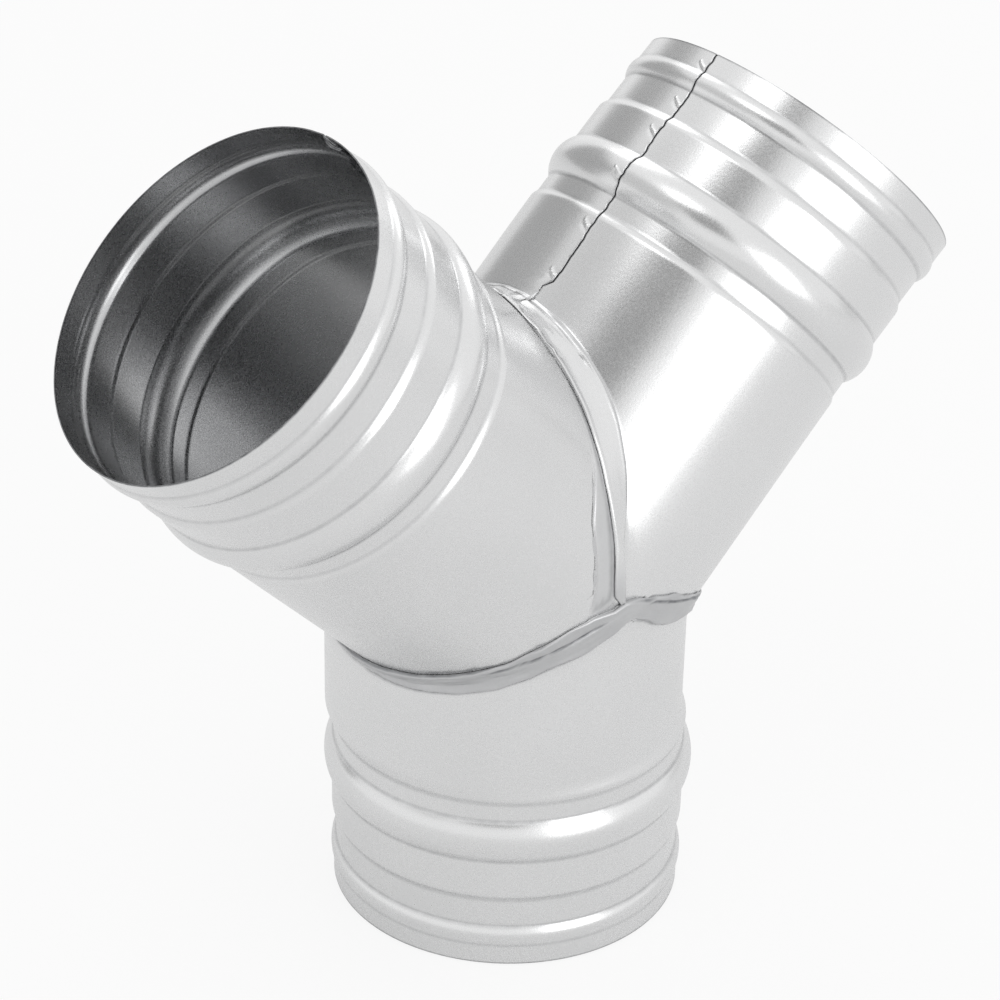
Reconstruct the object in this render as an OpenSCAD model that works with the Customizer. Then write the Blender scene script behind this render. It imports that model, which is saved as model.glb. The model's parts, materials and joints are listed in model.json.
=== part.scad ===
// Equal duct wye of galvanised sheet: a trunk sleeve and two branch sleeves.
// Each sleeve is one rolled sheet with a beaded collar and a lock seam along its length.
// The sleeves meet on three mitres, where their edges are folded into each other and dressed flat.
// The origin is the middle of the trunk's open end, and +Z runs up the trunk.

/* [Sleeves] */
// Outside diameter of the plain tube of each sleeve
tube_d = 150; // [120:1:200]
// Thickness of the sheet
sheet_t = 0.5; // [0.4:0.05:0.7]
// Length of the trunk from its open end to the point where the three axes meet
trunk_leg = 160; // [140:1:240]
// Length of each branch from the point where the axes meet to its open end
branch_leg = 200; // [185:1:280]
// Angle of each branch to the line of the trunk
branch_angle = 45; // [40:1:50]

/* [Collar at each open end] */
// Distance from the open end to the middle of the small bead
small_bead_at = 13; // [9:0.5:16]
// Width of the small bead across its foot in the groove
small_bead_w = 10; // [8:0.5:12]
// Height of the small bead above the groove
small_bead_h = 1.5; // [1.1:0.1:1.6]
// Length of the groove from the middle of the small bead to its slope
groove_len = 18; // [12:0.5:24]
// Depth of the groove below the tube
groove_drop = 2; // [1.6:0.1:2.6]
// Length of the slope from the groove up to the collar
slope_len = 3; // [2:0.5:5]
// Length of the plain collar that a duct slides over
collar_len = 17; // [12:0.5:24]
// Drop of the plain collar below the tube
collar_drop = 0.4; // [0.2:0.1:0.6]
// Width of the big bead across its foot on the collar
big_bead_w = 18; // [14:0.5:22]
// Height of the big bead above the tube
big_bead_h = 2.8; // [2:0.1:3.4]
// Length of the sunk neck between the big bead and the tube
neck_len = 9; // [6:0.5:14]
// Drop of the neck below the tube
neck_drop = 1.1; // [0.7:0.1:1.4]
// Length of the slope from the neck up to the tube
shoulder_len = 2.5; // [1.5:0.5:5]
// Drop of the lip at the open end below the tube
lip_drop = 1.1; // [0.9:0.1:1.3]

/* [Lock seam along each sleeve] */
// Width of the folded lock inside the sleeve
lock_w = 12; // [8:0.5:15]
// Open line between the two edges, seen from outside
lock_line = 0.3; // [0.2:0.05:0.5]
// Place of the lock round the trunk, from +X towards +Y
trunk_lock_turn = 60; // [30:1:75]
// Place of the lock round the left branch, from the side that faces the other branch
left_lock_turn = -2; // [-20:1:8]
// Place of the lock round the right branch, from the side that faces the other branch
right_lock_turn = -7; // [-20:1:8]

/* [Folds on the mitres] */
// Gap between one fold and the next
fold_gap = 0.1; // [0.05:0.01:0.2]
// Reach of the trunk's fold up over each branch
trunk_fold_up = 4.5; // [3.5:0.1:7]
// Reach of the trunk's fold down from the mitre
trunk_fold_down = 6; // [4:0.1:8]
// Reach of the right branch's fold over the left branch
crotch_fold_left = 7; // [4:0.1:9]
// Reach of the right branch's fold back from the mitre
crotch_fold_right = 5; // [3.5:0.1:7]

/* [Hidden] */
$fn = 96;

tube_r = tube_d / 2;
lip_r = tube_r - lip_drop;
groove_r = tube_r - groove_drop;
collar_r = tube_r - collar_drop;
neck_r = tube_r - neck_drop;
slope_at = small_bead_at + groove_len;
collar_at = slope_at + slope_len;
big_bead_at = collar_at + collar_len + big_bead_w / 2;
shoulder_at = big_bead_at + big_bead_w / 2 + neck_len;
big_bead_rise = big_bead_h + collar_drop;
small_bead_r = arc_radius(small_bead_w, small_bead_h);
big_bead_r = arc_radius(big_bead_w, big_bead_rise);

// One fold lies on the next at this pitch
pitch = sheet_t + fold_gap;
// Half of the angle by which a branch leaves the trunk sets the slope of their mitre
mitre_slope = branch_angle / 2;
trunk_lean = 0;
left_lean = 180 - branch_angle;
right_lean = 180 + branch_angle;
trunk_spin = left_lean;
overrun = 2;
// Height above the axes' meeting point at which the crotch's outlines start
band_start = trunk_fold_up / 4;
// Reach of the cutting outlines, past every edge of the part
far = 807.82;
trunk_steel = "#c9ccce";
branch_steel = "#d2d5d7";

// Radius of the arc that rises by rise over a chord of width w
function arc_radius(w, rise) = (w * w / 4 + rise * rise) / (2 * rise);
// Shift of a corner on a slope when the wall's face moves out by grow
function slide(grow, rise, run) = -grow * tan(atan2(rise, run) / 2);
// Angle that a width takes round the tube
function turn_of(w) = w / tube_r * 180 / PI;
// Faces of fold number k: 0 is the tube's own wall, above 0 lies outside it, below 0 inside
function face_in(k) = k * pitch - sheet_t;
function face_out(k) = k * pitch;
// Height of the line at distance down below the trunk's mitre, at x from the middle
function mitre_z(x, down) = -x * tan(mitre_slope) - down / cos(mitre_slope);

// Solid section of a sleeve from its axis to its outer face, moved out by grow
module filled_section(grow, leg) {
    step = slide(grow, groove_drop - collar_drop, slope_len);
    shoulder = slide(grow, neck_drop, shoulder_len);
    polygon([
        [0, 0],
        [lip_r + grow, 0],
        [lip_r + grow, small_bead_at],
        [groove_r + grow, small_bead_at],
        [groove_r + grow, slope_at + step],
        [collar_r + grow, collar_at + step],
        [collar_r + grow, big_bead_at],
        [neck_r + grow, big_bead_at],
        [neck_r + grow, shoulder_at + shoulder],
        [tube_r + grow, shoulder_at + shoulder_len + shoulder],
        [tube_r + grow, leg + overrun],
        [0, leg + overrun]
    ]);
    translate([groove_r + small_bead_h - small_bead_r, small_bead_at])
        circle(r = small_bead_r + grow);
    translate([collar_r + big_bead_rise - big_bead_r, big_bead_at])
        circle(r = big_bead_r + grow);
}

// Lays a leg over; the trunk is turned about its own axis instead, by trunk_spin
module leaning(lean) {
    rotate(lean == 0 ? [0, 0, trunk_spin] : [0, lean, 0])
        children();
}

// Folds k_in to k_out of a sleeve, over part of a turn
module sheet_sector(leg, k_in, k_out, start, turn) {
    translate([0, 0, -leg])
        rotate_extrude(angle = turn, start = start)
            difference() {
                filled_section(face_out(k_out), leg);
                filled_section(face_in(k_in), leg);
            }
}

// One rolled sheet leaning by lean, with its edges locked at lock_turn
module rolled_sheet(leg, lean, lock_turn, wall_outline, lock_outline) {
    sheet = turn_of(sheet_t);
    gap = turn_of(fold_gap);
    line = turn_of(lock_line);
    lock = turn_of(lock_w);
    // Folds run half a sheet into the step that ends them. Each row: inner fold, outer fold, start and turn
    half = sheet / 2;
    lock_sectors = [
        // Covering edge: it turns in under itself
        [-2, 0, lock_turn, sheet],
        [-2, -2, lock_turn, lock - sheet - gap],
        // Covered edge: it steps in, runs under the lock and turns back
        [-3, 0, lock_turn - line - sheet, sheet],
        [-3, -3, lock_turn - line - sheet, line + lock + half],
        [-3, -1, lock_turn + lock - sheet, sheet],
        [-1, -1, lock_turn + sheet + gap, lock - sheet - gap - half]
    ];
    intersection() {
        leaning(lean)
            sheet_sector(leg, 0, 0, lock_turn, 360 - line - half);
        seen_from_front(wall_outline);
    }
    for (s = lock_sectors)
        intersection() {
            leaning(lean)
                sheet_sector(leg, s[0], s[1], s[2], s[3]);
            seen_from_front(lock_outline);
        }
}

// Plate as thick as the whole part, with its outline drawn as seen from the front
module seen_from_front(outline) {
    rotate([90, 0, 0])
        linear_extrude(height = far, center = true)
            polygon(outline);
}

// Solid wye of plain round legs, its outer face moved out by grow
module plain_wye(grow) {
    intersection() {
        plain_leg(grow, trunk_lean);
        seen_from_front(trunk_zone(0));
    }
    intersection() {
        plain_leg(grow, left_lean);
        seen_from_front(branch_zone(0, -1));
    }
    intersection() {
        plain_leg(grow, right_lean);
        seen_from_front(branch_zone(0, 1));
    }
}

// Solid round leg through the point where the axes meet
module plain_leg(grow, lean) {
    leaning(lean)
        cylinder(r = tube_r + grow, h = 2 * far, center = true);
}

// Outline of the trunk from a distance below its mitres downwards
function trunk_zone(down) = [
    [0, mitre_z(0, down)],
    [far, mitre_z(far, down)],
    [far, -2 * far],
    [-far, -2 * far],
    [-far, mitre_z(far, down)]
];

// Outline of one branch above the trunk's mitre, from x_in outwards, on side 1 or -1
function branch_zone(x_in, side) = [
    [side * x_in, mitre_z(x_in, 0)],
    [side * far, mitre_z(far, 0)],
    [side * far, far],
    [side * x_in, far]
];

// Outline of the right branch's wall: it stops where its crotch fold steps out
function right_wall_zone() = [
    [fold_gap, mitre_z(fold_gap, 0)],
    [far, mitre_z(far, 0)],
    [far, far],
    [crotch_fold_right, far],
    [crotch_fold_right, crotch_foot(crotch_fold_right) - 2 * fold_gap],
    [fold_gap, crotch_foot(fold_gap) - 2 * fold_gap]
];

// Outline of a belt over both mitres of the trunk, between two distances below them
function belt(up, down) = [
    [0, mitre_z(0, up)],
    [far, mitre_z(far, up)],
    [far, mitre_z(far, down)],
    [0, mitre_z(0, down)],
    [-far, mitre_z(far, down)],
    [-far, mitre_z(far, up)]
];

// Outline of half such a belt, which stops just short of the middle, on side 1 or -1
function half_belt(up, down, side) = [
    [side * fold_gap, mitre_z(fold_gap, up)],
    [side * far, mitre_z(far, up)],
    [side * far, mitre_z(far, down)],
    [side * fold_gap, mitre_z(fold_gap, down)]
];

// Height of the lower end of the crotch's folds, just above the trunk's folds, at x from the middle
function crotch_foot(x) = mitre_z(abs(x), -trunk_fold_up - fold_gap);

// Outline above the trunk's folds, which ends the crotch's folds
function above_foot() = [
    [0, crotch_foot(0)],
    [far, crotch_foot(far)],
    [far, far],
    [-far, far],
    [-far, crotch_foot(far)]
];

// Outline of a band over the crotch's mitre, from a little below the crotch's folds
function crotch_band(x_left, x_right) = [
    [x_left, band_start],
    [x_right, band_start],
    [x_right, far],
    [x_left, far]
];

// Folds k_in to k_out round the legs, within an outline
module fold(k_in, k_out, outline) {
    intersection() {
        difference() {
            plain_wye(face_out(k_out));
            plain_wye(face_in(k_in));
        }
        seen_from_front(outline);
    }
}

// Edge of the trunk: out, over the branches' edges, round them and back down inside
module trunk_hook() {
    up = -trunk_fold_up;
    down = trunk_fold_down;
    fold(0, 3, belt(down, down + sheet_t));
    fold(3, 3, belt(up, down + sheet_t));
    fold(1, 3, belt(up, up + sheet_t));
    fold(1, 1, belt(up, down - pitch - fold_gap));
}

// Edge of a branch at the trunk: down past the mitre, out and back up inside the trunk's fold
module branch_hook(side) {
    up = pitch - trunk_fold_up;
    reach = trunk_fold_down - fold_gap;
    fold(0, 0, half_belt(0, reach, side));
    fold(0, 2, half_belt(reach - sheet_t, reach, side));
    fold(2, 2, half_belt(up, reach, side));
}

// Edge of the left branch in the crotch: past the mitre, out and back inside the right one's fold
module left_crotch_hook() {
    reach = crotch_fold_right - fold_gap;
    intersection() {
        union() {
            fold(0, 0, crotch_band(-overrun, reach));
            fold(0, 2, crotch_band(reach - sheet_t, reach));
            fold(2, 2, crotch_band(pitch - crotch_fold_left, reach));
        }
        seen_from_front(above_foot());
    }
}

// Edge of the right branch in the crotch: out, over the left one's edge, round it and back
module right_crotch_hook() {
    left = -crotch_fold_left;
    right = crotch_fold_right;
    intersection() {
        union() {
            fold(0, 3, crotch_band(right, right + sheet_t));
            fold(3, 3, crotch_band(left, right + sheet_t));
            fold(1, 3, crotch_band(left, left + sheet_t));
            fold(1, 1, crotch_band(left, right - pitch - fold_gap));
        }
        seen_from_front(above_foot());
    }
}

module trunk_sleeve() {
    color(trunk_steel)
        translate([0, 0, trunk_leg]) {
            rolled_sheet(trunk_leg, trunk_lean, trunk_lock_turn - trunk_spin,
                trunk_zone(trunk_fold_down), trunk_zone(trunk_fold_down));
            trunk_hook();
        }
}

module left_branch_sleeve() {
    color(branch_steel)
        translate([0, 0, trunk_leg]) {
            rolled_sheet(branch_leg, left_lean, 180 + left_lock_turn,
                branch_zone(fold_gap, -1), branch_zone(crotch_fold_left, -1));
            left_crotch_hook();
            branch_hook(-1);
        }
}

module right_branch_sleeve() {
    color(branch_steel)
        translate([0, 0, trunk_leg]) {
            rolled_sheet(branch_leg, right_lean, right_lock_turn,
                right_wall_zone(), branch_zone(crotch_fold_right, 1));
            right_crotch_hook();
            branch_hook(1);
        }
}

trunk_sleeve();
left_branch_sleeve();
right_branch_sleeve();
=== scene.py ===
import json
import math

import bmesh
import bpy
from mathutils import Matrix, Vector, noise


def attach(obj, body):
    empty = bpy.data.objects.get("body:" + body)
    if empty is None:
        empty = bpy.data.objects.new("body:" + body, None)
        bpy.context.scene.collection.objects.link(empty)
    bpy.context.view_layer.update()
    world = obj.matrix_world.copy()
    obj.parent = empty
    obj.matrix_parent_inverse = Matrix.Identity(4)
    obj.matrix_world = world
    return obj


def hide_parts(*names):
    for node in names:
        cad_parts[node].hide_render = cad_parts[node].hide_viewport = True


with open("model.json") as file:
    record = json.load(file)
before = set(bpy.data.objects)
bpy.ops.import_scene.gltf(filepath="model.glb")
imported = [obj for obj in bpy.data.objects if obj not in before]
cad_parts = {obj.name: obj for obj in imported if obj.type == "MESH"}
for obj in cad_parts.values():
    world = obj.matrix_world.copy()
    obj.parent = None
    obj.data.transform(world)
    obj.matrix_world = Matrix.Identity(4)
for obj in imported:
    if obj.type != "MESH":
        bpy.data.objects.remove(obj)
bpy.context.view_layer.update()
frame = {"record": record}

# The camera stands at the height and angle from which the wye was photographed, a little to the
# left of the trunk and looking down on it with a long lens. It turns slightly about its own view.
camera_at = Vector((-0.6677, -0.8434, 0.7494))
camera_azimuth = math.radians(-38.0711)
camera_elevation = math.radians(28.0171)
camera_roll = math.radians(1.2908)

back = Vector((
    math.sin(camera_azimuth) * math.cos(camera_elevation),
    -math.cos(camera_azimuth) * math.cos(camera_elevation),
    math.sin(camera_elevation),
))
level_right = Vector((0, 0, 1)).cross(back).normalized()
level_up = back.cross(level_right)
camera_right = math.cos(camera_roll) * level_right + math.sin(camera_roll) * level_up
camera_up = math.cos(camera_roll) * level_up - math.sin(camera_roll) * level_right

camera_data = bpy.data.cameras.new("camera")
camera_data.lens = 107.99
camera_data.sensor_width = 36
camera = bpy.data.objects.new("camera", camera_data)
camera_turn = Matrix((camera_right, camera_up, back)).transposed().to_4x4()
camera.matrix_world = Matrix.Translation(camera_at) @ camera_turn
bpy.context.scene.collection.objects.link(camera)
bpy.context.scene.camera = camera

# Every sleeve is cut from the same galvanised steel sheet: bright zinc over thin steel, with a fine
# grain, faint clouds and the long soft buckles of a rolled sheet. Hammered seams are duller. Shade
# is painted dark into the creases, folds and lock lines, and the inside of every tube is painted
# darker as shade.


class Wire:
    """The output of a shader node, used in expressions like a number."""

    def __init__(self, tree, socket):
        self.tree = tree
        self.socket = socket

    def maths(self, operation, *terms):
        return self.tree.node("ShaderNodeMath", {"operation": operation}, dict(enumerate(terms)))

    def __add__(self, other):
        return self.maths("ADD", self, other)

    def __radd__(self, other):
        return self.maths("ADD", other, self)

    def __sub__(self, other):
        return self.maths("SUBTRACT", self, other)

    def __rsub__(self, other):
        return self.maths("SUBTRACT", other, self)

    def __mul__(self, other):
        return self.maths("MULTIPLY", self, other)

    def __rmul__(self, other):
        return self.maths("MULTIPLY", other, self)

    def held(self):
        """The value kept between 0 and 1."""
        return self.tree.node("ShaderNodeClamp", {}, {"Value": self})


class NodeTree:
    """The nodes of one material, or of the world."""

    def __init__(self, owner):
        owner.use_nodes = True
        self.nodes = owner.node_tree.nodes
        self.links = owner.node_tree.links

    def node(self, kind, settings, sockets, output=0):
        """Make one node: its settings first, then a value or a wire for each socket."""
        made = self.nodes.new(kind)
        for name, value in settings.items():
            setattr(made, name, value)
        for name, value in sockets.items():
            self.join(value, made.inputs[name])
        return Wire(self, made.outputs[output])

    def join(self, value, socket):
        if isinstance(value, Wire):
            self.links.new(value.socket, socket)
        else:
            socket.default_value = value


zinc = (0.77, 0.772, 0.775, 1)
# A darker copy of the zinc for the inside of the tubes: painted shade.
shaded_inner_zinc = (0.61, 0.613, 0.62, 1)
dull_and_shaded_zinc = (0.56, 0.563, 0.57, 1)
# Painted shade: the dark grey laid into creases, folds and the lock line.
crease_shade_paint = (0.16, 0.165, 0.175, 1)
zinc_roughness = 0.27
# Spots to a metre, and the levels of finer detail in them
grain_spots = (1100, 2)
cloud_spots = (16, 3)
smear_spots = (70, 4)
crease_shade_spots = (240, 2)
buckle_spots = (22, 1)
buckle_depth = 0.0012
grain_depth = 0.0002
# Places of the two colours, and of their mixture, on a Mix node
colour_a = 6
colour_b = 7
mixture = 2


def galvanised_steel(name, face):
    """Zinc on steel. One mark says where the sheet is worn, which on the left sleeve's strip is
    also painted shade; the other says where shade is painted dark into its creases.
    """
    steel = bpy.data.materials.new(name)
    tree = NodeTree(steel)
    shader = tree.nodes["Principled BSDF"]
    place = tree.node("ShaderNodeTexCoord", {}, {}, "Object")

    def spots(scale, detail):
        sockets = {"Vector": place, "Scale": scale, "Detail": detail}
        return tree.node("ShaderNodeTexNoise", {}, sockets, "Fac")

    def mark(word):
        return tree.node("ShaderNodeAttribute", {"attribute_name": word}, {}, "Fac")

    def mixed(blend, share, under, over):
        settings = {"data_type": "RGBA", "blend_type": blend}
        sockets = {"Factor": share, colour_a: under, colour_b: over}
        return tree.node("ShaderNodeMix", settings, sockets, mixture)

    grain = spots(*grain_spots)
    clouds = spots(*cloud_spots)
    # Wear makes the zinc duller, and on the left sleeve's strip the same mark is painted shade.
    wear_and_shade = mark("wear_and_shade") * (0.6 + 0.8 * spots(*smear_spots))
    # Shade painted dark into the creases, mottled a little.
    crease_shade_share = mark("crease") * (0.35 + 0.9 * spots(*crease_shade_spots))

    dulled_and_shaded = mixed("MIX", wear_and_shade.held(), face, dull_and_shaded_zinc)
    with_crease_shade = mixed("MIX", crease_shade_share.held(), dulled_and_shaded, crease_shade_paint)
    shade = 0.94 + 0.07 * clouds + 0.09 * (grain - 0.5)
    roughness = zinc_roughness + 0.10 * (clouds - 0.5) + 0.12 * (grain - 0.5) + 0.12 * wear_and_shade
    buckles = {"Strength": 0.35, "Distance": buckle_depth, "Height": spots(*buckle_spots)}
    buckled = tree.node("ShaderNodeBump", {}, buckles)
    grains = {"Strength": 0.10, "Distance": grain_depth, "Height": grain, "Normal": buckled}
    grained = tree.node("ShaderNodeBump", {}, grains)

    tree.join(mixed("MULTIPLY", 1.0, with_crease_shade, shade), shader.inputs["Base Color"])
    tree.join(roughness, shader.inputs["Roughness"])
    tree.join(grained, shader.inputs["Normal"])
    shader.inputs["Metallic"].default_value = 1.0
    return steel


steel = galvanised_steel("galvanised_steel", zinc)
shaded_inner_steel = galvanised_steel("galvanised_inner_face_painted_shade", shaded_inner_zinc)

# The trunk sleeve is the straight leg, which stands on its open end. Its sheet is rolled round with
# a beaded collar at the mouth, and its far edge is flared out over both branches and hammered down.
# Lengths are in millimetres, and the places on a collar are distances from its mouth.
mm = 0.001
tube_r = 75.0
girth = 2 * math.pi * tube_r
sheet_t = 0.5
trunk_len = 160
branch_len = 200
joint = Vector((0, 0, trunk_len))

collar = next(mount for mount in frame["record"]["mounts"] if mount["name"] == "trunk_collar")
collar_r = collar["dims"]["r_mm"]
lip_r = tube_r - 1.1
groove_r = tube_r - 2.0
neck_r = tube_r - 1.1
small_bead_at = 13.0
small_bead_w = 10.0
small_bead_top = tube_r
slope_at = small_bead_at + 18.0
collar_at = slope_at + 3.0
big_bead_w = 18.0
big_bead_at = collar_at + collar["dims"]["length_mm"] + big_bead_w / 2
big_bead_top = tube_r + 2.8
shoulder_at = big_bead_at + big_bead_w
tube_at = shoulder_at + 2.5
corner_r = 0.5


def smooth(low, high, value):
    """0 up to low, 1 from high on, and an even rise between them."""
    t = min(max((value - low) / (high - low), 0), 1)
    return t * t * (3 - 2 * t)


def hump(away, width):
    """1 at its middle, dying away on both sides."""
    return math.exp(-(away / width) ** 2)


def bead(s, middle, width, foot_r, top_r):
    """Radius of the arc of a bead, or 0 beside it."""
    rise = top_r - foot_r
    arc_r = (width * width / 4 + rise * rise) / (2 * rise)
    room = arc_r * arc_r - (s - middle) ** 2
    return top_r - arc_r + math.sqrt(room) if room > 0 else 0


def rolled_r(s):
    """Radius of the sheet at the distance s from the mouth, with sharp corners."""
    if s < small_bead_at:
        land = lip_r
    elif s < slope_at:
        land = groove_r
    elif s < collar_at:
        land = groove_r + (collar_r - groove_r) * (s - slope_at) / (collar_at - slope_at)
    elif s < big_bead_at:
        land = collar_r
    elif s < shoulder_at:
        land = neck_r
    else:
        land = neck_r + (tube_r - neck_r) * min((s - shoulder_at) / (tube_at - shoulder_at), 1)
    small = bead(s, small_bead_at, small_bead_w, groove_r, small_bead_top)
    big = bead(s, big_bead_at, big_bead_w, collar_r, big_bead_top)
    return max(land, small, big)


def profile_r(s):
    """The same radius with its corners rounded by the rolls."""
    return sum(rolled_r(s + corner_r * k / 3) for k in range(-3, 4)) / 7


def crease_mark(s):
    """How much shade is painted dark into the collar's hollow corners, and how dark the cut edge of
    its mouth is.
    """
    if s < 2:
        return 0.9 if s == 0 else 0
    bend = profile_r(s - 1) + profile_r(s + 1) - 2 * profile_r(s)
    return min(max(bend / 1.3, 0), 1)


# Distance from the mouth at which a hanging mouth or a slanting lock has come into line
in_line_at = 110


def out_of_line(s):
    """1 at the mouth, falling evenly to 0 where the leg runs true."""
    return max(1 - s / in_line_at, 0)


class Leg:
    """One tube of the wye: its length, its zero direction and the way from its mouth to the joint.

    The mouth hangs out of line by the droop, which dies away along the collar.
    """

    def __init__(self, length, across, inward, droop=(0, 0, 0)):
        self.length = length
        self.across = Vector(across).normalized()
        self.inward = Vector(inward).normalized()
        self.droop = Vector(droop)

    def out(self, angle):
        return math.cos(angle) * self.across + math.sin(angle) * Vector((0, 1, 0))

    def at(self, s, angle, radius):
        drooped = out_of_line(s) ** 2 * self.droop
        return joint + (s - self.length) * self.inward + radius * self.out(angle) + drooped


trunk = Leg(trunk_len, (1, 0, 0), (0, 0, 1))
left = Leg(branch_len, (-1, 0, -1), (1, 0, -1))
right = Leg(branch_len, (-1, 0, 1), (-1, 0, -1), droop=(3.0, 0, -3.0))

trunk_slope = math.tan(math.radians(22.5))
crotch_slope = 1
# Half width of the stretch over which the trunk's two mitres blend into each other
mitres_blend = 6
# Half width of the stretch over which the sheet bends from one leg to the next
valley_r = 2.2
no_bridge = (0, 0)


def mitre(leg, angle):
    """Where the sheet reaches its neighbour, and the plane that mirrors one leg into the other."""
    reach = tube_r * math.cos(angle)
    slope = trunk_slope
    if leg is trunk:
        side = min(max(reach / mitres_blend, -1), 1)
        other = Vector((side, 0, 1)).normalized()
    elif (leg is right) == (reach > 0):
        other = -(left if leg is right else right).inward
        slope = crotch_slope
    else:
        other = -trunk.inward
    return leg.length - abs(reach) * slope, (-leg.inward - other).normalized()


def over_mitre(leg, angle, g, h, bridge):
    """A point g before the mitre line, or past it on the neighbour where g is negative, h proud.

    Between the two places of a bridge the sheet spans the hollow of the joint in a straight line.
    """
    low, high = bridge
    if low < g < high:
        share = (g - low) / (high - low)
        near = over_mitre(leg, angle, low, h, no_bridge)
        return near.lerp(over_mitre(leg, angle, high, h, no_bridge), share)
    s, mirror = mitre(leg, angle)
    own_way = -leg.inward
    own_out = leg.out(angle)
    their_way = own_way.reflect(mirror)
    their_out = own_out.reflect(mirror)
    if g >= valley_r:
        mine, theirs = g, 0
    elif g <= -valley_r:
        mine, theirs = 0, -g
    else:
        mine = (valley_r + g) ** 2 / (4 * valley_r)
        theirs = (valley_r - g) ** 2 / (4 * valley_r)
    share = min(max((g + valley_r) / (2 * valley_r), 0), 1)
    foot = leg.at(s, angle, tube_r) + mine * own_way + theirs * their_way
    return foot + h * (share * own_out + (1 - share) * their_out)


# The lock's width, and how far its two inner folds lie below the face of the tube
lock_w = 12.0
layer_drop = 0.72
return_drop = 1.85


def sheet_columns():
    """Places across the rolled sheet, from its covering edge round to the edge locked under it.

    Each is a distance along the circle from the lock line and a drop below the face of the tube.
    """
    cover = [(0.10, 0.50), (0.16, 0.22), (0.35, 0.05), (0.62, 0.0)]
    beside_lock = [(1.0 + 0.4 * k, 0.0) for k in range(21)]
    wall = [(9.8 + 3.1 * k, 0.0) for k in range(int((girth - 13) / 3.1))]
    step = [(-2.2, 0.0), (-1.5, 0.0), (-1.05, 0.02), (-0.75, 0.1), (-0.5, 0.32), (-0.3, 0.66)]
    under = [(0.2 + 1.46 * k, layer_drop) for k in range(9)]
    turn = [(lock_w + 0.3, 0.85), (lock_w + 0.5, 1.28), (lock_w + 0.3, 1.7)]
    inmost = [(lock_w - 0.4 - 1.6 * k, return_drop) for k in range(7)]
    covered = [(girth + t, drop) for t, drop in step + under + turn + inmost]
    return cover + beside_lock + wall + covered


def lock_shade(drop):
    """Shade painted dark into the lock line, where the sheet's edges turn in below the face of the
    tube.
    """
    return min(drop / 0.3, 1)


# A punch mark is a raised stroke beside the lock line, with a dent beneath it
stroke_len = 4.4
stroke_slant = 2.4
stroke_h = 0.6
stroke_w = 0.55
dent_depth = 0.3
dent_w = 0.9
dent_below = 1.6
punch_reach = 6


def punch(t, s, punches):
    """How far punch marks lift the sheet at the distance t from the lock line."""
    lift = 0
    for at in punches:
        if 0.2 < t < punch_reach and abs(s - at) < punch_reach:
            slant = at - stroke_slant * (max(t - 0.5, 0) / stroke_len) ** 1.3
            length = smooth(0.2, 0.6, t) * (1 - smooth(4.3, 5.3, t))
            ridge = hump(s - slant, stroke_w)
            dent = hump(s - slant - dent_below, dent_w)
            lift += length * (stroke_h * ridge - dent_depth * dent)
    return lift


crest_depth = 4.2
trunk_lean = 2.3
trunk_lean_turn = math.radians(38)


def beaten_down(reach):
    """How far the left tube's upper side is beaten in, by the height in the crotch."""
    return crest_depth * smooth(38, 74, reach)


def out_of_round(leg, angle, s):
    """How far the wall stands in from the true circle at the distance s from the mouth.

    The left tube is flattened along its upper side, and the trunk leans a little to the left
    between its collar and its mitres.
    """
    if leg is left:
        return beaten_down(-tube_r * math.cos(angle)) * smooth(20, 92, s)
    if leg is trunk:
        below_mitre = mitre(leg, angle)[0] - s
        leaning = trunk_lean * math.cos(angle + trunk_lean_turn)
        return leaning * smooth(79, 86, s) * smooth(1.5, 9, below_mitre)
    return 0


row_step = 0.8
closer_step = 0.4
rolled_rows = 104
wall_rows = 40


def collar_stations(punches):
    """Distances from the mouth at which the collar's rows lie, closer together at a punch mark."""
    rolled = {round(row_step * k, 2) for k in range(rolled_rows)}
    closer = {round(at + closer_step * k, 2) for at in punches for k in range(-9, 6)}
    return sorted(rolled | {s for s in closer if 0 < s < max(rolled)})


def thickened(name, mesh):
    """The sheet as a piece of its own, with its thickness laid on inwards and its inside painted
    darker as shade.
    """
    data = bpy.data.meshes.new(name)
    mesh.to_mesh(data)
    mesh.free()
    data.materials.append(steel)
    data.materials.append(shaded_inner_steel)
    piece = bpy.data.objects.new(name, data)
    bpy.context.scene.collection.objects.link(piece)
    thickness = piece.modifiers.new("thickness", "SOLIDIFY")
    thickness.thickness = sheet_t * mm
    thickness.offset = -1
    thickness.use_quality_normals = True
    thickness.material_offset = 1
    settled = piece.evaluated_get(bpy.context.evaluated_depsgraph_get())
    solid = bpy.data.meshes.new_from_object(settled)
    piece.modifiers.clear()
    piece.data = solid
    solid.shade_smooth()
    solid.set_sharp_from_angle(angle=math.radians(48))
    return piece


# The lock's inner folds end this far before the mitre line
folds_end = 1.0
# The lock's inner folds gape over this length of the mouth, and over this width
gape_len = 5
gape_w = 14
# The lock line wanders over this width on both sides
wander_w = 9


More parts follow.
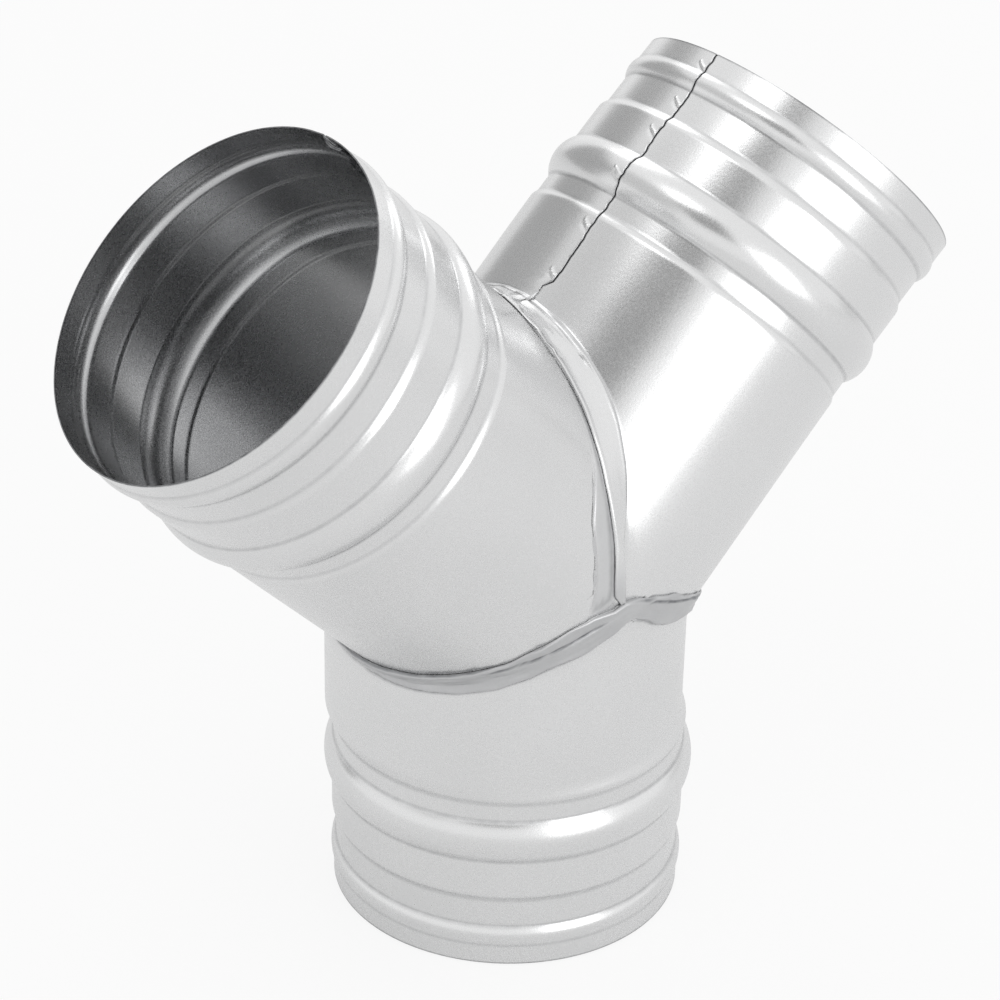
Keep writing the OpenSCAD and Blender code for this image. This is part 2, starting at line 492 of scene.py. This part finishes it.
def sleeve(name, leg, lock_angle, band, band_rows, seed, punches=(), gape=0, twist=0):
    """Roll one sheet into a sleeve: rows run along it, columns round it.

    band gives for a row and an angle how far the row lies from the mitre line, how proud it is, its
    wear and painted shade, the shade painted into its creases, and the hollow that it bridges. The
    lock's inner folds gape at the mouth, and the lock runs aslant by the twist.
    """
    stations = collar_stations(punches)
    collar_end = stations[-1]
    band_start = band(0, 0.0)[0]
    columns = sheet_columns()
    mesh = bmesh.new()
    wear_and_shade = mesh.verts.layers.float.new("wear_and_shade")
    crease = mesh.verts.layers.float.new("crease")

    def place(point, wear_and_shade_here, crease_here):
        vertex = mesh.verts.new(point * mm)
        vertex[wear_and_shade] = wear_and_shade_here
        vertex[crease] = crease_here
        return vertex

    def turned(t, s):
        """The angle of a column at the distance s, where the lock line wanders and slants."""
        near = hump(min(t, abs(t - girth)), wander_w)
        wave = 0.7 * noise.noise(Vector((s / 9, seed, 0)))
        ripple = 0.5 * noise.noise(Vector((s / 2.5, seed, 5)))
        return lock_angle + (t + (wave + ripple) * near + twist * out_of_line(s)) / tube_r

    def on_collar(s, t, drop):
        angle = turned(t, s)
        inner_fold = drop >= layer_drop
        curl = math.sin(math.pi * (t - girth) / gape_w) if inner_fold else 0
        open_by = gape * hump(s, gape_len) * curl
        lifted = punch(t, s, punches)
        radius = profile_r(s) - drop - open_by + lifted - out_of_round(leg, angle, s)
        return place(leg.at(s, angle, radius), 0, max(crease_mark(s), lock_shade(drop)))

    def on_wall(k, t, drop):
        end = mitre(leg, turned(t, collar_end))[0] - band_start
        s = collar_end + (end - collar_end) * k / wall_rows
        angle = turned(t, s)
        radius = tube_r - drop + punch(t, s, punches) - out_of_round(leg, angle, s)
        return place(leg.at(s, angle, radius), 0, lock_shade(drop))

    def on_band(k, t, drop):
        angle = turned(t, 0)
        g, h, wear_and_shade_here, crease_here, bridge = band(k, angle)
        if drop > 0.4:
            last = band(band_rows - 1, angle)[0]
            g = folds_end + (g - last) * (band_start - folds_end) / (band_start - last)
            h = 0
            bridge = no_bridge
        h -= drop + out_of_round(leg, angle, mitre(leg, angle)[0] - g)
        return place(over_mitre(leg, angle, g, h, bridge), wear_and_shade_here, crease_here)

    grid = [[on_collar(s, t, drop) for t, drop in columns] for s in stations]
    grid += [[on_wall(k, t, drop) for t, drop in columns] for k in range(1, wall_rows + 1)]
    grid += [[on_band(k, t, drop) for t, drop in columns] for k in range(1, band_rows)]
    for lower, upper in zip(grid, grid[1:]):
        for k in range(len(columns) - 1):
            mesh.faces.new((lower[k], upper[k], upper[k + 1], lower[k + 1]))

    # The faces turn one way all together, and a point on the collar tells whether it is outwards
    bmesh.ops.recalc_face_normals(mesh, faces=mesh.faces)
    row, column = 10, 80
    point = grid[row][column]
    point.normal_update()
    if point.normal.dot(leg.out(turned(columns[column][0], stations[row]))) < 0:
        bmesh.ops.reverse_faces(mesh, faces=mesh.faces)
    return thickened(name, mesh)


# The band's section in rows: a distance before the mitre line, negative past it, and a height over
# the sheets below. It rises at a lower edge, runs up over the line, and ends in a hem turned under.
trunk_band = [
    (9.5, 0.0), (8.5, 0.0), (7.6, 0.02), (7.0, 0.12), (6.8, 0.55), (6.6, 1.1), (6.2, 1.4),
    (5.6, 1.5), (4.9, 1.55), (4.2, 1.55), (3.4, 1.55), (2.6, 1.6), (1.9, 1.6), (1.3, 1.65),
    (0.8, 1.7), (0.3, 1.75), (-0.2, 1.8), (-0.5, 1.8),
]
trunk_band += [(-0.5 - 0.2 * k, 1.85) for k in range(1, 17)]
trunk_band += [
    (-3.95, 1.8), (-4.25, 1.72), (-4.5, 1.55), (-4.7, 1.3), (-4.85, 1.0), (-4.87, 0.8),
    (-4.8, 0.45), (-4.6, 0.15), (-4.2, 0.05), (-3.4, 0.15), (-2.4, 0.3),
]
# The foot and the top of the rise. Past upper_start the section is drawn out over upper_span, so
# that the hem, which reaches hem_reach past the line here, comes to lie at the upper edge.
rise_foot = 7.0
rise_top = 6.5
upper_start = -0.5
upper_span = 3.2
hem_reach = 4.87
# Reach of the band's two edges below and above the mitre line, by the angle round the trunk
lower_edge = [
    (-180, 1.5), (-165, 3.4), (-149, 4.8), (-133, 5.6), (-122, 4.2), (-115, 3.5), (-104, 4.6),
    (-95, 3.4), (-92, 2.1), (-84, 2.1), (-79, 4.3), (-74, 5.3), (-68, 4.9), (-60, 2.8), (-50, 2.6),
    (-20, 5.2), (20, 6.0), (60, 5.4), (90, 2.2), (120, 5.8), (180, 1.5),
]
upper_edge = [
    (-180, 5.2), (-150, 6.6), (-138, 7.0), (-127, 7.7), (-120, 9.6), (-114, 10.8), (-103, 12.0),
    (-97, 11.5), (-93, 7.5), (-88, 6.5), (-84, 8.6), (-76, 9.4), (-64, 8.0), (-52, 6.6),
    (-42, 4.6), (-30, 4.6), (0, 6.5), (70, 6.0), (90, 5.0), (120, 6.2), (180, 5.2),
]
# Angles where the folded hem is pinched flat
pinches = (-125.5, -114.2, -97.0)
# The fold line is a narrow groove, past which the sheet lies a step lower
fold_w = 0.45
fold_depth = 0.45
fold_step = 0.55


def between(table, at):
    """The value at a place along a table of places and values."""
    for (a, low), (b, high) in zip(table, table[1:]):
        if at <= b:
            return low + (high - low) * (at - a) / (b - a)
    return table[-1][1]


def dents(angle, g, size, seed):
    """Hammer marks of about one size."""
    return noise.noise(Vector((tube_r * angle / size, g / size, seed)))


def in_degrees(angle):
    """The angle in degrees from -180 to 180, which is below 0 on the side of the camera."""
    return (math.degrees(angle) + 180) % 360 - 180


def over_branches(k, angle):
    """The trunk's band over both branches, hammered, with a fold line along its upper part."""
    row, h = trunk_band[k]
    round_trunk = in_degrees(angle)
    x = tube_r * math.cos(angle)
    below = between(lower_edge, round_trunk) + 0.7 * dents(angle, 0, 7, 3)
    below += 0.35 * dents(angle, 0, 2.5, 4)
    above = between(upper_edge, round_trunk) + 0.8 * dents(angle, 0, 8, 7)
    above += 0.3 * dents(angle, 0, 2, 8)
    if row > rise_top:
        start = trunk_band[0][0]
        g = below + (row - rise_top) * (start - below) / (start - rise_top)
    elif row > 0:
        g = row * (below / rise_top)
    elif row < upper_start:
        g = row - (above - hem_reach) * min((upper_start - row) / upper_span, 1)
    else:
        g = row

    rough = smooth(0.3, 1.5, h)
    h += rough * (0.4 * dents(angle, g, 6, 5) + 0.3 * dents(angle, g, 2, 6))
    pinch = sum(hump(round_trunk - at, 1.3) for at in pinches)
    h += rough * pinch * 0.7 * dents(angle, g, 1.3, 14)
    h += rough * 0.6 * hump(x, 8)

    on_right = smooth(0, 4, x)
    on_left = smooth(9, 10, -x) * (1 - smooth(46, 54, -x))
    folded = max(on_right, on_left) * (round_trunk < 0) * (1 - min(pinch, 1))
    fold_at = 5.5 + 0.9 * on_right + 0.4 * dents(angle, 0, 9, 15)
    fold = folded * hump(g + fold_at, fold_w)
    step = fold_step * rough * folded * smooth(-0.5, 0.5, -g - fold_at)
    h -= step + fold_depth * fold * rough
    h *= 1 - 0.5 * smooth(-60, -46, round_trunk) * (1 - smooth(-25, 0, round_trunk))

    # Shade painted dark along the foot of the rise, under the hem and into the fold line.
    rise_foot_shade = 0.6 * hump(row - rise_foot, 0.35)
    hem_shade = (0.75 - 0.6 * smooth(-50, -40, x)) * smooth(4.5, 4.8, -row)
    painted_band_shade = max(rise_foot_shade, hem_shade, min(1.4 * fold, 1))
    return g, h, smooth(0.05, 1.0, h), painted_band_shade, no_bridge


trunk_sleeve = sleeve(
    "trunk_sheet_metal", trunk, math.radians(60), over_branches, len(trunk_band), seed=1.0,
)
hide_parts("trunk_sleeve")
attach(trunk_sleeve, "root")

# The left branch sleeve is rolled and beaded in the same way. Its edge ends under the trunk's band
# and under the right sleeve's, beside which it is hammered into a narrow strip, duller and painted
# darker as shade.
left_band = [
    (22.0, 0.0), (21.0, 0.0), (20.0, 0.0), (19.4, 0.05), (19.0, 0.2), (18.6, 0.45), (18.0, 0.6),
    (17.2, 0.62), (16.2, 0.6), (15.0, 0.55), (13.8, 0.5), (12.6, 0.42), (11.6, 0.3), (10.8, 0.15),
    (10.2, 0.05), (9.6, 0.0), (8.9, 0.0), (8.2, 0.0), (7.5, 0.0), (6.8, 0.0), (6.0, 0.0),
    (5.3, 0.0), (4.6, 0.0), (3.9, 0.0), (3.2, 0.0), (2.6, 0.0), (1.9, 0.0), (1.2, 0.0), (0.4, 0.0),
]
strip_foot = 19.2
strip_h = 0.7
# How far the strip's outer edge and the right sleeve's hem lie from the joint, by the height in the
# crotch, which is 0 where the three legs meet and 75 at its top
strip_edge = [
    (-12, 13), (-7, 17), (0, 24.5), (18, 26), (27, 22.5), (35, 19.0), (46, 17.5), (75, 17.0),
]
hem_edge = [
    (0, 12.5), (4, 12.4), (18, 11.6), (23, 12.3), (32, 12.9), (45, 13.8), (54, 11.8), (60, 10.8),
    (66, 11.2), (70, 12.5), (75, 15.0),
]


def beside_right(k, angle):
    """The left sleeve's edge: flat under the right sleeve's hem, with a low strip beside it."""
    row, h = left_band[k]
    reach = -tube_r * math.cos(angle)
    in_front = in_degrees(angle) < 0
    here = smooth(-10, -6, reach) * (1 - smooth(44, 60, reach)) * in_front
    hem = between(hem_edge, max(reach, 0))
    edge = between(strip_edge, reach) + 0.8 * dents(angle, 0, 12, 8)
    places = [(0, 0), (9.6, hem - 3), (13, hem + 0.3), (18, edge - 1), (22, edge + 3)]
    g = row + (between(places, row) - row) * (smooth(-16, -11, reach) * in_front)
    # The strip is painted duller as the shade of its flattened face, beside its hammer wear. Shade
    # is painted dark along its foot and into the hollow by the hem.
    strip = smooth(0.0, 0.5, h) * here
    line = hump(row - strip_foot, 0.5) * 0.35 * here
    dip = 0.5 * hump(g - hem - 2, 1.2) * strip
    return g, strip_h * h * here, 0.5 * strip, max(line, dip), no_bridge


left_sleeve = sleeve(
    "left_sheet_metal", left, math.radians(178), beside_right, len(left_band), seed=2.0, gape=1.3,
)
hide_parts("left_branch_sleeve")
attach(left_sleeve, "root")

# The right branch sleeve crosses the crotch: its edge is joggled up, carried over the left sleeve
# and hammered down there. Its lock line faces the camera, with a row of button punches beside it.
right_band = [
    (13.5, 0.0), (11.5, 0.0), (9.8, 0.0), (8.9, 0.0), (8.3, 0.05), (7.9, 0.2), (7.6, 0.5),
    (7.3, 0.95), (7.0, 1.3), (6.6, 1.5), (6.1, 1.6),
]
right_band += [(5.4 - 0.7 * k, 1.6) for k in range(19)]
right_band += [
    (-7.9, 1.6), (-8.5, 1.55), (-9.0, 1.45), (-9.4, 1.25), (-9.7, 1.0), (-9.85, 0.75), (-9.8, 0.5),
    (-9.5, 0.35), (-8.8, 0.3), (-8.0, 0.3), (-6.6, 0.35),
]
hem_rows = 8
# Where the edge ends, before the mitre line, away from the crotch
plain_end = 0.3
# How far the joggle lies before the joint, by the height in the crotch
joggle_edge = [
    (0, -4.5), (9, -4.9), (15.5, -5.6), (20, -4.6), (25.5, -2.4), (32, 1.8), (39.5, 4.8), (50, 7.0),
    (58, 6.6), (64, 5.6), (71, 3.6), (75, 2.8),
]
# Hammer marks in the band: an angle, a distance from the joint, a width and a depth
marks = (
    (-31, 1.5, 2.4, 1.0), (-24, -7.5, 1.4, 0.7), (-28, -8.5, 1.1, 0.8), (-14, -3.0, 2.6, 0.8),
    (-34.5, -5, 1.6, 0.6),
)
# Angles where the hem stands open in a slit
slits = (-21.5, -27.0)


def over_left(k, angle):
    """The right sleeve's band over the left sleeve in the crotch. Elsewhere its edge lies flat."""
    row, h = right_band[k]
    first = right_band[0][0]
    last = right_band[-1][0]
    reach = tube_r * math.cos(angle)
    round_leg = in_degrees(angle)
    here = smooth(-3, 0, reach)
    joggle = between(joggle_edge, max(reach, 0)) + 0.25 * dents(angle, 0, 9, 16)
    hem = between(hem_edge, max(reach, 0)) + 0.4 * dents(angle, 0, 7, 11)
    places = [(-9.9, -hem), (-7.9, 2 - hem), (6.1, joggle - 1.1), (8.9, joggle + 1.7)]
    g = between(places + [(first, first)], row)

    top = smooth(62, 72, reach)
    rough = smooth(0.3, 1.4, h)
    h += rough * (0.2 + 0.7 * top) * dents(angle, g, 7, 9)
    h += rough * (0.1 + 0.5 * top) * dents(angle, g, 2.5, 10)
    for mark_angle, mark_g, width, depth in marks:
        away = math.hypot(tube_r * math.radians(round_leg - mark_angle), g - mark_g)
        h -= rough * depth * hump(away, width)
    if k >= len(right_band) - hem_rows:
        h += 0.25 * max(dents(angle, 0, 9, 12), 0)
        h += 0.8 * sum(hump(round_leg - at, 0.9) for at in slits)
    h -= beaten_down(reach) * smooth(-joggle, 7, -g)

    plain = plain_end + (row - last) * (first - plain_end) / (first - last)
    g = here * g + (1 - here) * plain
    h *= here
    wear_and_shade = max(0.35 * top, 0.7 * (1 - smooth(2, 16, reach))) * smooth(0.05, 1.0, h)
    # Shade painted dark along the foot of the joggle.
    painted_band_shade = 0.5 * hump(row - 8.2, 0.4) * here
    return g, h, wear_and_shade, painted_band_shade, (here * (3 - hem), here * (joggle - 1.2))


right_sleeve = sleeve(
    "right_sheet_metal", right, math.radians(-7), over_left, len(right_band), seed=3.0,
    punches=(7.6, 25.4, 40.4, 62.6, 86.3, 110.0), twist=3.6,
)
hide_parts("right_branch_sleeve")
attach(right_sleeve, "root")

# A plain white studio: a pale floor that fades into a white surround, four broad soft lamps, and
# four grey cards that only the metal sees, which give the bright tubes their darker sides.
white = (1, 1, 1, 1)
floor_paint = (0.9, 0.9, 0.9, 1)
floor_r = 4.0
floor_drop = 0.0005

floor_data = bpy.data.meshes.new("floor")
floor_mesh = bmesh.new()
bmesh.ops.create_circle(floor_mesh, cap_ends=True, segments=96, radius=floor_r)
floor_mesh.to_mesh(floor_data)
floor_mesh.free()
floor = bpy.data.objects.new("floor", floor_data)
floor.location = (0, 0, -floor_drop)
bpy.context.scene.collection.objects.link(floor)


def sees_background(tree):
    """1 for the rays of the camera and those that metal or glass sends on, which see white."""
    kinds = ("Is Camera Ray", "Is Glossy Ray", "Is Transmission Ray")
    rays = [tree.node("ShaderNodeLightPath", {}, {}, kind) for kind in kinds]
    return (rays[0] + rays[1] + rays[2]).held()


def pale_floor():
    """Paint that glows a little, so that the floor runs into the white surround."""
    pale = bpy.data.materials.new("pale_floor")
    tree = NodeTree(pale)
    plain = tree.node("ShaderNodeBsdfDiffuse", {}, {"Color": floor_paint})
    glow = tree.node("ShaderNodeEmission", {}, {"Color": white, "Strength": 1.0})
    camera_ray = tree.node("ShaderNodeLightPath", {}, {}, "Is Camera Ray")
    glow_share = 0.3 * sees_background(tree) + 0.55 * camera_ray
    both = tree.node("ShaderNodeMixShader", {}, {0: glow_share, 1: plain, 2: glow})
    tree.join(both, tree.nodes["Material Output"].inputs["Surface"])
    return pale


floor_data.materials.append(pale_floor())

world = bpy.data.worlds.new("studio")
bpy.context.scene.world = world
world_tree = NodeTree(world)
room = world_tree.node("ShaderNodeBackground", {}, {"Color": white, "Strength": 0.75})
surround = world_tree.node("ShaderNodeBackground", {}, {"Color": white, "Strength": 1.0})
either = {0: sees_background(world_tree), 1: room, 2: surround}
seen = world_tree.node("ShaderNodeMixShader", {}, either)
world_tree.join(seen, world_tree.nodes["World Output"].inputs["Surface"])

middle_of_wye = Vector((0, 0, 0.18))


def facing_wye(azimuth, elevation, distance):
    """A place seen from the middle of the wye, by its angles in degrees, and a turn to face it."""
    a = math.radians(azimuth)
    e = math.radians(elevation)
    way = Vector((math.cos(e) * math.cos(a), math.cos(e) * math.sin(a), math.sin(e)))
    turn = (-way).to_track_quat("-Z", "Y").to_matrix().to_4x4()
    return Matrix.Translation(middle_of_wye + distance * way) @ turn


def soft_lamp(name, azimuth, elevation, distance, width, height, brightness):
    """A broad lamp whose face is brightness times as bright as white paper in the surround."""
    data = bpy.data.lights.new(name, "AREA")
    data.shape = "RECTANGLE"
    data.size = width
    data.size_y = height
    data.energy = brightness * math.pi * width * height
    lamp = bpy.data.objects.new(name, data)
    lamp.matrix_world = facing_wye(azimuth, elevation, distance)
    bpy.context.scene.collection.objects.link(lamp)


soft_lamp("lamp_front", -86, 14, 2.2, width=1.25, height=1.45, brightness=1.36)
soft_lamp("lamp_left", -155, 70, 2.0, width=0.65, height=0.65, brightness=1.9)
soft_lamp("lamp_behind", 60, 50, 2.0, width=0.8, height=0.8, brightness=1.2)
soft_lamp("lamp_right", 12, 24, 2.0, width=0.5, height=0.5, brightness=1.8)


def grey_card(name, azimuth, elevation, distance, width, height, grey):
    """A card that shows only in the metal, as bright as the grey says."""
    mesh = bmesh.new()
    corners = [(-1, -1), (1, -1), (1, 1), (-1, 1)]
    mesh.faces.new([mesh.verts.new((x * width / 2, y * height / 2, 0)) for x, y in corners])
    data = bpy.data.meshes.new(name)
    mesh.to_mesh(data)
    mesh.free()
    card = bpy.data.objects.new(name, data)
    card.matrix_world = facing_wye(azimuth, elevation, distance)
    card.visible_camera = False
    card.visible_shadow = False
    card.visible_diffuse = False
    bpy.context.scene.collection.objects.link(card)
    paper = bpy.data.materials.new(name)
    tree = NodeTree(paper)
    glow = tree.node("ShaderNodeEmission", {}, {"Color": (grey, grey, grey, 1), "Strength": 1.0})
    tree.join(glow, tree.nodes["Material Output"].inputs["Surface"])
    data.materials.append(paper)


grey_card("card_over_camera", -135, 48, 1.6, width=0.9, height=0.9, grey=0.33)
grey_card("card_behind", 104, 22, 1.6, width=1.5, height=1.2, grey=0.45)
grey_card("card_left", 165, 45, 1.6, width=1.3, height=1.0, grey=0.68)
grey_card("card_right", -6, -6, 1.6, width=0.8, height=0.5, grey=0.7)

bpy.context.scene.view_settings.view_transform = "Standard"
